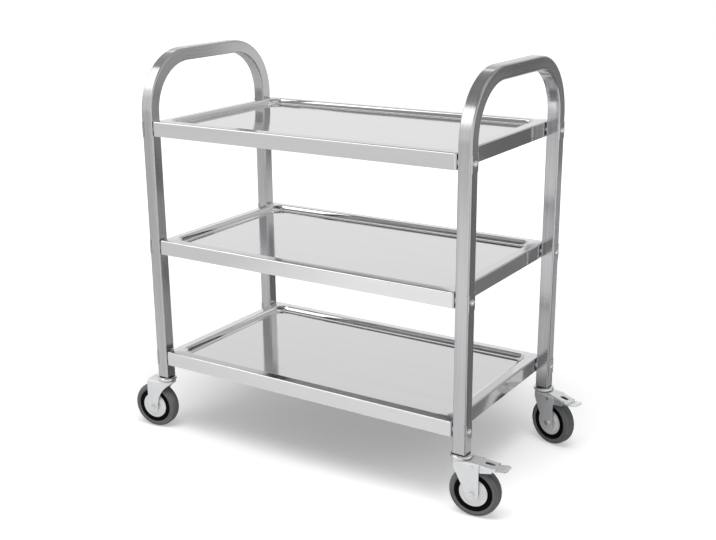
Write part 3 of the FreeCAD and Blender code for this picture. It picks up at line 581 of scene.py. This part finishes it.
def wind_threads(name, body, tails, tree, settings, plate):
    """Wind a thread on each bolt tail, all of one length, as one plain mesh that rides on a body."""
    length = (tails[0][1] - tails[0][0]).length
    margin = settings.depth
    obj = add_mesh(name, [start + (end - start).normalized() * margin for start, end in tails], [])
    heading = obj.data.attributes.new("heading", "FLOAT_VECTOR", "POINT")
    for item, (start, end) in zip(heading.data, tails):
        item.vector = end - start
    values = {"Radius": settings.radius, "Pitch": settings.pitch, "Depth": settings.depth,
              "Length": length - 2 * margin, "Sides": settings.sides, "Plate": plate}
    modifier = obj.modifiers.new("threads", "NODES")
    modifier.node_group = tree
    for item in tree.interface.items_tree:
        if item.name in values:
            modifier[item.identifier] = values[item.name]
    evaluated = obj.evaluated_get(bpy.context.evaluated_depsgraph_get())
    mesh = bpy.data.meshes.new_from_object(evaluated)
    if not mesh.polygons:
        raise RuntimeError(name + " has no faces")
    obj.modifiers.remove(modifier)
    obj.data = mesh
    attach(obj, body)


# Studio

def lay_floor(settings):
    """Pale floor that keeps the trolley's shadow, deepened by painted shade where its glow is kept low; the
    camera and bright metal see it whiten further out.
    """
    half = settings.floor_size / 2
    corners = [(-half, -half, 0), (half, -half, 0), (half, half, 0), (-half, half, 0)]
    floor = add_mesh("floor", corners, [(0, 1, 2, 3)])
    material, g = new_graph("studio_floor")
    path = g.add("ShaderNodeLightPath").outputs
    away = g.measure("LENGTH", g.place())
    # Painted shade: the camera's glow is lowest round the shade centre under the trolley and rises outwards.
    apart = g.measure("DISTANCE", g.place(), settings.painted_shade_centre)
    glow_round_painted_shade = g.spread(apart, settings.floor_glow, settings.outer_glow, settings.glow_start, settings.glow_end,
                    kind="SMOOTHSTEP")
    rest = g.spread(away, 0.0, 1.0 - settings.outer_glow, settings.white_start, settings.white_end)
    seen = g.math("MULTIPLY", path["Is Camera Ray"], g.math("ADD", glow_round_painted_shade, rest))
    far = g.spread(away, 0.0, settings.mirrored_glow, *settings.mirrored_span)
    side = g.spread(g.parts(g.place())[0], *settings.side_glow, *settings.side_span)
    reach = g.spread(away, 0.0, 1.0, *settings.side_reach)
    pale = g.math("MAXIMUM", g.math("ADD", far, g.math("MULTIPLY", side, reach)), 0.0)
    mirrored = g.math("MAXIMUM", path["Is Glossy Ray"], path["Is Transmission Ray"])
    strength = g.math("ADD", seen, g.math("MULTIPLY", mirrored, pale))
    diffuse = g.add("ShaderNodeBsdfDiffuse", {"Color": (*settings.floor_colour, 1)})
    glow = g.add("ShaderNodeEmission", {"Color": WHITE, "Strength": strength})
    both = g.add("ShaderNodeAddShader", {0: diffuse.outputs[0], 1: glow.outputs[0]})
    g.add("ShaderNodeOutputMaterial", {"Surface": both.outputs[0]})
    floor.data.materials.append(material)


def dress_world(scene, settings):
    """White to the camera; for light and reflections a pale room with a darker band above its walls."""
    world = bpy.data.worlds.new("studio")
    scene.world = world
    world.use_nodes = True
    g = Graph(world.node_tree)
    rise = g.parts(g.add("ShaderNodeTexCoord").outputs["Generated"])[2]
    room = g.ramp(g.spread(rise, 0.0, 1.0, start=-1.0, end=1.0), ROOM_SHADES)
    path = g.add("ShaderNodeLightPath").outputs
    shown = g.mix(path["Is Camera Ray"], room, WHITE)
    fill = g.spread(path["Is Diffuse Ray"], 1.0, settings.room_fill)
    background = g.add("ShaderNodeBackground", {"Color": shown, "Strength": fill})
    g.add("ShaderNodeOutputWorld", {"Surface": background.outputs[0]})


def soft_light(name, place, target, width, height, power):
    """Rectangular lamp that faces a target and lights dull surfaces, unseen in reflections."""
    data = bpy.data.lights.new(name, "AREA")
    data.shape = "RECTANGLE"
    data.size = width
    data.size_y = height
    data.energy = power
    lamp = bpy.data.objects.new(name, data)
    lamp.location = place
    lamp.rotation_euler = (Vector(target) - Vector(place)).to_track_quat("-Z", "Y").to_euler()
    lamp.visible_camera = False
    lamp.visible_glossy = False
    bpy.context.scene.collection.objects.link(lamp)


def grey_card(name, shade, corners):
    """Card of an even grey or white that only reflections see."""
    card = add_mesh(name, corners, [tuple(range(len(corners)))])
    material, g = new_graph(name)
    glow = g.add("ShaderNodeEmission", {"Color": (shade, shade, shade, 1), "Strength": 1.0})
    g.add("ShaderNodeOutputMaterial", {"Surface": glow.outputs[0]})
    card.data.materials.append(material)
    card.visible_camera = False
    card.visible_diffuse = False
    card.visible_shadow = False


def facing_card(name, shade, place, target, width, low, high):
    """Card that faces a target, from low to high above its place."""
    turn = (Vector(target) - Vector(place)).to_track_quat("-Z", "Y")
    half = width / 2
    corners = ((-half, low), (half, low), (half, high), (-half, high))
    grey_card(name, shade, [Vector(place) + turn @ Vector((*corner, 0)) for corner in corners])


def level_card(name, shade, height, points):
    """Card that lies level, with the given points across and back as its corners."""
    grey_card(name, shade, [(*point, height) for point in points])


def upright_card(name, shade, back, across, rise):
    """Upright card at a distance back, between two places across and two heights."""
    left, right = across
    low, high = rise
    corners = ((left, low), (right, low), (right, high), (left, high))
    grey_card(name, shade, [(x, back, z) for x, z in corners])


def set_light_box():
    """Bright box high at the front left, with a dimmer foot."""
    box = {"place": (-1.48, -1.55, 2.08), "target": (0.22, -0.10, 0.98), "width": 2.65}
    foot_top = -0.42
    facing_card("light_box", 1.9, **box, low=foot_top, high=0.75)
    facing_card("light_box_foot", 1.15, **box, low=-0.75, high=foot_top)


def set_floor_cards():
    """Dark cards on the floor: right of the trolley, out to the front and behind it."""
    level_card("right_card", 0.20, height=0.004,
               points=((0.45, 0.1), (1.2, 0.1), (2.6, 2.9), (1.45, 2.9), (0.90, 1.5)))
    level_card("front_card", 0.28, height=0.004,
               points=((0.42, -0.1), (0.62, -0.1), (3.2, -4.4), (1.8, -4.4)))
    level_card("rear_card", 0.18, height=0.003,
               points=((-0.4, 0.2), (0.40, 0.2), (0.74, 1.2), (0.1, 1.2)))


def set_screens():
    """Row of upright screens at the back on the right, with one more over them."""
    back = 2.9
    top = 0.72
    upright_card("rear_screen", 0.50, back, across=(0.9, 1.42), rise=(0, top))
    upright_card("right_screen", 0.15, back, across=(1.42, 1.92), rise=(0, top))
    upright_card("upper_screen", 0.45, back, across=(1.4, 3.4), rise=(top, 2.0))
    upright_card("pale_screen", 0.45, back, across=(1.92, 3.2), rise=(0, top))


def set_small_cards():
    """Small cards: two behind the trolley, one at its front left and a bright strip overhead."""
    behind = {"back": 1.0, "across": (0.0, 0.45)}
    join = 0.74
    upright_card("handle_card", 0.85, **behind, rise=(0.5, join))
    upright_card("high_card", 0.30, **behind, rise=(join, 0.84))
    upright_card("leg_card", 0.40, back=-0.6, across=(-1.35, -0.8), rise=(0.46, 0.80))
    level_card("strip_card", 1.5, height=2.3,
               points=((-2.8, 1.28), (0.3, 1.28), (0.3, 1.62), (-2.8, 1.62)))


def place_camera(scene, settings):
    """Camera at the photograph's viewing angle."""
    data = bpy.data.cameras.new("camera")
    data.sensor_width = SENSOR_WIDTH
    data.lens = settings.lens
    data.shift_x, data.shift_y = settings.camera_shift
    data.clip_end = CLIP_END
    camera = bpy.data.objects.new("camera", data)
    yaw, pitch, roll = settings.camera_turn
    ahead = math.cos(pitch)
    forward = Vector((-math.sin(yaw) * ahead, math.cos(yaw) * ahead, -math.sin(pitch)))
    level = forward.cross(Vector((0, 0, 1))).normalized()
    upright = level.cross(forward)
    right = level * math.cos(roll) + upright * math.sin(roll)
    up = upright * math.cos(roll) - level * math.sin(roll)
    turn = Matrix((right, up, -forward)).transposed().to_4x4()
    camera.matrix_world = Matrix.Translation(settings.camera_place) @ turn
    scene.collection.objects.link(camera)
    scene.camera = camera


# Operators

class TROLLEY_OT_end_frames(bpy.types.Operator):
    """Finish the end frames, saddles and leg plugs"""
    bl_idname = "trolley.end_frames"
    bl_label = "Finish end frames"

    def execute(self, context):
        settings = context.scene.trolley_steel
        finish_nodes(satin_tube(settings), *END_FRAMES, "bolt_saddles")
        plug = moulded_plastic("plug_plastic", settings.plug_colour, roughness=0.5)
        finish_nodes(plug, "leg_plugs")
        return {"FINISHED"}


class TROLLEY_OT_trays(bpy.types.Operator):
    """Finish the trays"""
    bl_idname = "trolley.trays"
    bl_label = "Finish trays"

    def execute(self, context):
        finish_nodes(polished_tray(context.scene.trolley_steel), *TRAYS)
        return {"FINISHED"}


class TROLLEY_OT_casters(bpy.types.Operator):
    """Finish the casters and the tray bolts"""
    bl_idname = "trolley.casters"
    bl_label = "Finish casters"

    def execute(self, context):
        settings = context.scene.trolley_caster
        zinc = plated_steel("zinc_plate", settings.zinc_colour, roughness=0.34, metallic=0.65)
        chrome = plated_steel("bright_plate", settings.chrome_colour, roughness=0.09, variation=0.04,
                              scale=200.0)
        pedal = plated_steel("pedal_plate", settings.zinc_colour, roughness=0.26, variation=0.06,
                             metallic=0.9)
        shoe = shoe_rubber(settings.shoe_colour, roughness=0.7)
        rim = moulded_plastic("rim_plastic", settings.rim_colour, roughness=0.7, specular=0.05)
        nylon = moulded_plastic("bush_nylon", settings.nylon_colour, roughness=0.5)
        finish_nodes(chrome, "shelf_bolts", "shelf_nuts", "shelf_spacers", "swivel_heads")
        finish_nodes(zinc, "caster_stems")
        for name in CASTERS:
            finish_nodes(zinc, name + "_fork", name + "_axle_sleeve")
            finish_nodes(chrome, name + "_swivel_balls", name + "_axle_bolt", name + "_axle_nut")
            finish_nodes(rim, name + "_rim")
            finish_nodes(nylon, name + "_bushes")
            centre = Vector(JOINTS[name + "_roll"]["pos_m"])
            axle = axle_of(name)
            finish_nodes(spun_cap(name + "_cap", settings.cap_colour, centre, axle), name + "_dust_caps")
            finish_nodes(tyre_rubber(name + "_rubber", settings.tyre_colour, centre, axle), name + "_tyre")
        for name in BRAKED:
            finish_nodes(pedal, name + "_brake_pedal")
            finish_nodes(chrome, name + "_pedal_pin")
            finish_nodes(shoe, name + "_brake_shoe")
        return {"FINISHED"}


class TROLLEY_OT_threads(bpy.types.Operator):
    """Wind threads on the bare ends of the tray bolts and axle bolts"""
    bl_idname = "trolley.threads"
    bl_label = "Wind threads"

    def execute(self, context):
        settings = context.scene.trolley_thread
        colour = context.scene.trolley_caster.chrome_colour
        plate = plated_steel("thread_plate", colour, roughness=0.2, variation=0.06, scale=200.0)
        tree = thread_tree()
        tails = bolt_tails("shelf_bolts", "shelf_nuts", Vector((1, 0, 0)))
        wind_threads("shelf_bolt_threads", "frame", tails, tree, settings, plate)
        for name in CASTERS:
            tails = bolt_tails(name + "_axle_bolt", name + "_axle_nut", axle_of(name))
            wind_threads(name + "_axle_thread", name + "_swivel", tails, tree, settings, plate)
        return {"FINISHED"}


class TROLLEY_OT_stage(bpy.types.Operator):
    """Lay the floor and set the lights, the mirrored cards and the camera"""
    bl_idname = "trolley.stage"
    bl_label = "Set the stage"

    def execute(self, context):
        settings = context.scene.trolley_studio
        context.scene.view_settings.view_transform = "Standard"
        lay_floor(settings)
        dress_world(context.scene, settings)
        soft_light("overhead_light", place=(0.35, -0.60, 2.4), target=(0, 0, 0.2), width=2.0, height=1.4,
                   power=settings.overhead_power)
        soft_light("front_light", place=(-1.7, -1.45, 1.9), target=(0, 0, 0.8), width=2.2, height=1.5,
                   power=settings.front_power)
        set_light_box()
        set_floor_cards()
        set_screens()
        set_small_cards()
        place_camera(context.scene, settings)
        return {"FINISHED"}


# Panel and registration

class TROLLEY_PT_panel(bpy.types.Panel):
    """Steps of the trolley's dressing"""
    bl_idname = "TROLLEY_PT_panel"
    bl_label = "Serving trolley"
    bl_space_type = "VIEW_3D"
    bl_region_type = "UI"
    bl_category = "Trolley"

    def draw(self, context):
        for settings in GROUPS:
            group = getattr(context.scene, settings)
            for name in group.__annotations__:
                self.layout.prop(group, name)
        for step in STEPS:
            self.layout.operator(step.bl_idname)


GROUPS = {
    "trolley_steel": TROLLEY_PG_steel,
    "trolley_caster": TROLLEY_PG_caster,
    "trolley_thread": TROLLEY_PG_thread,
    "trolley_studio": TROLLEY_PG_studio,
}
STEPS = (TROLLEY_OT_end_frames, TROLLEY_OT_trays, TROLLEY_OT_casters, TROLLEY_OT_threads, TROLLEY_OT_stage)
CLASSES = (*GROUPS.values(), *STEPS, TROLLEY_PT_panel)


def register():
    for cls in CLASSES:
        bpy.utils.register_class(cls)
    for name, group in GROUPS.items():
        setattr(bpy.types.Scene, name, PointerProperty(type=group))


def unregister():
    for name in GROUPS:
        delattr(bpy.types.Scene, name)
    for cls in reversed(CLASSES):
        bpy.utils.unregister_class(cls)


def main():
    register()
    bpy.ops.trolley.end_frames()
    bpy.ops.trolley.trays()
    bpy.ops.trolley.casters()
    bpy.ops.trolley.threads()
    bpy.ops.trolley.stage()


if __name__ == "__main__":
    main()
